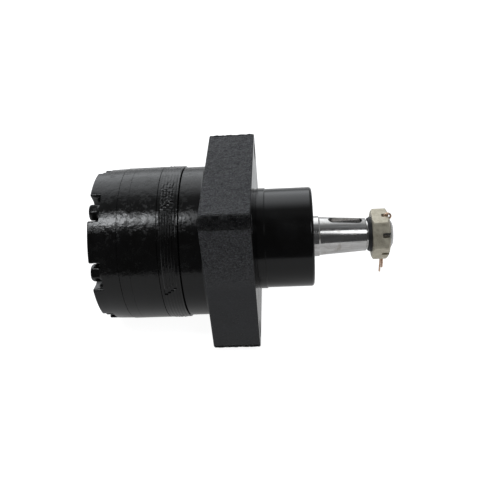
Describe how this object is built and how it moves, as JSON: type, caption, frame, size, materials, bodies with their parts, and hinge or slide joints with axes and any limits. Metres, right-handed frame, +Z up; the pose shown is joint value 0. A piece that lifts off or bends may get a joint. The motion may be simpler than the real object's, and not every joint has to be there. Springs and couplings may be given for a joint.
{
  "type": "hydraulic motor",
  "caption": "Wheel-mount low-speed hydraulic motor: bolted round plate stack, square flange, round nose and a keyed tapered shaft with a slotted nut.",
  "frame": {"origin": "on the shaft axis, in the plane of the flange's front mounting face", "axes": "+X along the output shaft towards its thread, +Z up, so that the flange's flats face along Y and Z"},
  "size_m": [0.2389, 0.133, 0.133],
  "materials": {
    "black_paint": "semi-gloss black paint over cast iron and ground steel",
    "machined_steel": "bright turned and ground steel",
    "hard_steel": "ground hardened steel",
    "zinc_plate": "dull yellow-grey zinc plate",
    "copper_wire": "dull copper-coloured wire",
    "bronze": "sintered bronze",
    "seal_rubber": "matt black rubber"
  },
  "bodies": {
    "motor": {"housing": "black_paint", "wear_plate": "black_paint", "stator": "black_paint", "manifold": "black_paint", "commutator_ring": "black_paint", "end_cover": "black_paint", "cover_bolt_1": "black_paint", "cover_bolt_2": "black_paint", "cover_bolt_3": "black_paint", "cover_bolt_4": "black_paint", "cover_bolt_5": "black_paint", "cover_bolt_6": "black_paint", "cover_bolt_7": "black_paint", "body_seal_1": "seal_rubber", "body_seal_2": "seal_rubber", "body_seal_3": "seal_rubber", "body_seal_4": "seal_rubber", "body_seal_5": "seal_rubber", "inner_bearing_cup": "hard_steel", "outer_bearing_cup": "hard_steel", "front_thrust_washer": "hard_steel", "seal_backup_washer": "hard_steel", "shaft_seal": "seal_rubber", "dirt_seal": "seal_rubber"},
    "shaft": {"output_shaft": "machined_steel", "castle_nut": "zinc_plate", "cotter_pin": "copper_wire", "rear_thrust_washer": "hard_steel"},
    "commutator": {"commutator": "bronze", "commutator_seal": "seal_rubber"},
    "rotor": {"rotor": "hard_steel"},
    "link": {"drive_link": "hard_steel"},
    "roller_1": {"roller_1": "hard_steel"},
    "roller_2": {"roller_2": "hard_steel"},
    "roller_3": {"roller_3": "hard_steel"},
    "roller_4": {"roller_4": "hard_steel"},
    "roller_5": {"roller_5": "hard_steel"},
    "roller_6": {"roller_6": "hard_steel"},
    "roller_7": {"roller_7": "hard_steel"},
    "inner_needles": {"inner_bearing_needles": "hard_steel"},
    "outer_needles": {"outer_bearing_needles": "hard_steel"},
    "thrust_needles": {"thrust_needles": "hard_steel"}
  },
  "joints": [
    {"name": "shaft_spin", "type": "hinge", "parent": "motor", "child": "shaft", "pos_m": [0, 0, 0], "axis": [1, 0, 0], "continuous": true},
    {"name": "commutator_orbit", "type": "hinge", "parent": "motor", "child": "commutator", "pos_m": [-0.1, 0, 0], "axis": [1, 0, 0], "continuous": true},
    {"name": "rotor_spin", "type": "hinge", "parent": "commutator", "child": "rotor", "pos_m": [-0.0791, 0, -0.003], "axis": [1, 0, 0], "continuous": true},
    {"name": "link_spin", "type": "hinge", "parent": "commutator", "child": "link", "pos_m": [-0.022, 0, 0], "axis": [0.9986, 0, 0.0525], "continuous": true},
    {"name": "roller_1_spin", "type": "hinge", "parent": "motor", "child": "roller_1", "pos_m": [-0.0791, 0.01605, -0.03334], "axis": [1, 0, 0], "continuous": true},
    {"name": "roller_2_spin", "type": "hinge", "parent": "motor", "child": "roller_2", "pos_m": [-0.0791, 0.03607, -0.00823], "axis": [1, 0, 0], "continuous": true},
    {"name": "roller_3_spin", "type": "hinge", "parent": "motor", "child": "roller_3", "pos_m": [-0.0791, 0.02893, 0.02307], "axis": [1, 0, 0], "continuous": true},
    {"name": "roller_4_spin", "type": "hinge", "parent": "motor", "child": "roller_4", "pos_m": [-0.0791, 0, 0.037], "axis": [1, 0, 0], "continuous": true},
    {"name": "roller_5_spin", "type": "hinge", "parent": "motor", "child": "roller_5", "pos_m": [-0.0791, -0.02893, 0.02307], "axis": [1, 0, 0], "continuous": true},
    {"name": "roller_6_spin", "type": "hinge", "parent": "motor", "child": "roller_6", "pos_m": [-0.0791, -0.03607, -0.00823], "axis": [1, 0, 0], "continuous": true},
    {"name": "roller_7_spin", "type": "hinge", "parent": "motor", "child": "roller_7", "pos_m": [-0.0791, -0.01605, -0.03334], "axis": [1, 0, 0], "continuous": true},
    {"name": "inner_needles_spin", "type": "hinge", "parent": "motor", "child": "inner_needles", "pos_m": [-0.043, 0, 0], "axis": [1, 0, 0], "continuous": true},
    {"name": "outer_needles_spin", "type": "hinge", "parent": "motor", "child": "outer_needles", "pos_m": [0.012, 0, 0], "axis": [1, 0, 0], "continuous": true},
    {"name": "thrust_needles_spin", "type": "hinge", "parent": "motor", "child": "thrust_needles", "pos_m": [-0.0116, 0, 0], "axis": [1, 0, 0], "continuous": true}
  ],
  "couplings": [
    {"joint": "commutator_orbit", "follows": "shaft_spin", "ratio": -6},
    {"joint": "rotor_spin", "follows": "shaft_spin", "ratio": 7},
    {"joint": "link_spin", "follows": "shaft_spin", "ratio": 7},
    {"joint": "roller_1_spin", "follows": "shaft_spin", "ratio": -4},
    {"joint": "roller_2_spin", "follows": "shaft_spin", "ratio": -4},
    {"joint": "roller_3_spin", "follows": "shaft_spin", "ratio": -4},
    {"joint": "roller_4_spin", "follows": "shaft_spin", "ratio": -4},
    {"joint": "roller_5_spin", "follows": "shaft_spin", "ratio": -4},
    {"joint": "roller_6_spin", "follows": "shaft_spin", "ratio": -4},
    {"joint": "roller_7_spin", "follows": "shaft_spin", "ratio": -4},
    {"joint": "inner_needles_spin", "follows": "shaft_spin", "ratio": 0.466},
    {"joint": "outer_needles_spin", "follows": "shaft_spin", "ratio": 0.464},
    {"joint": "thrust_needles_spin", "follows": "shaft_spin", "ratio": 0.5}
  ]
}
